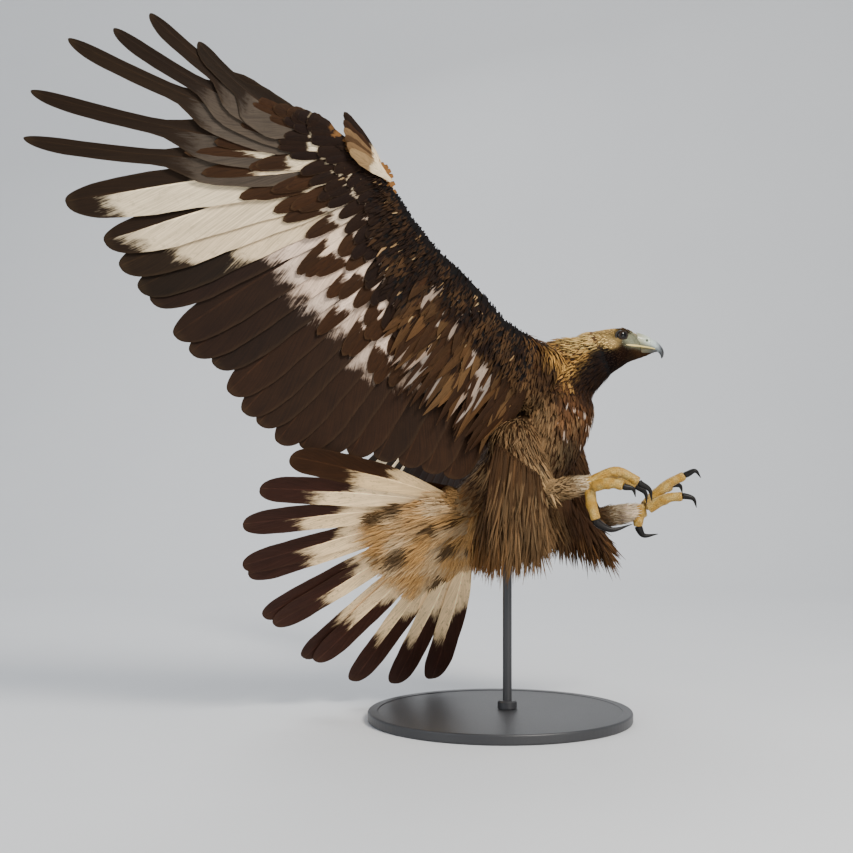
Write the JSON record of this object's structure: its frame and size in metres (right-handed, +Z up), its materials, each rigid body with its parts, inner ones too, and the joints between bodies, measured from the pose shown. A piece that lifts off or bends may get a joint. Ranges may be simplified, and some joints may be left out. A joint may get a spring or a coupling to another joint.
{
  "type": "golden eagle display model",
  "caption": "Life-size golden eagle coming in to seize: wings raised, tail fanned, talons reaching forward, held up by a rod on a round display base",
  "frame": {"origin": "centre of the display base's underside, on the floor", "axes": "+X towards the bill, +Y away from the raised near wing, +Z up"},
  "size_m": [0.9876, 1.0545, 1.0038],
  "materials": {
    "stand": "satin black powder coat",
    "body_feathers": "soft layered feathers",
    "golden_feathers": "soft pointed feathers",
    "dark_feathers": "stiff vanes with a low sheen",
    "pale_feathers": "stiff vanes with a low sheen",
    "yellow_skin": "scaly bare skin",
    "pale_horn": "polished horn",
    "dark_horn": "polished horn",
    "eye": "wet and glossy"
  },
  "bodies": {
    "root": {"stand_base": "stand", "stand_rod": "stand", "torso": "body_feathers", "neck": "golden_feathers", "head": "golden_feathers", "eye_right": "eye", "eye_left": "eye", "cere": "yellow_skin", "upper_bill": "pale_horn", "lower_bill": "pale_horn", "wing_right_arm": "dark_feathers", "wing_right_hand": "dark_feathers", "wing_left_arm": "dark_feathers", "wing_left_hand": "dark_feathers", "tail": "pale_feathers", "thigh_right": "golden_feathers", "thigh_left": "golden_feathers", "tarsus_right": "golden_feathers", "tarsus_left": "golden_feathers", "foot_right": "yellow_skin", "foot_left": "yellow_skin", "claw_right_middle": "dark_horn", "claw_right_inner": "dark_horn", "claw_right_outer": "dark_horn", "claw_right_hind": "dark_horn", "claw_left_middle": "dark_horn", "claw_left_inner": "dark_horn", "claw_left_outer": "dark_horn", "claw_left_hind": "dark_horn"}
  },
  "joints": []
}
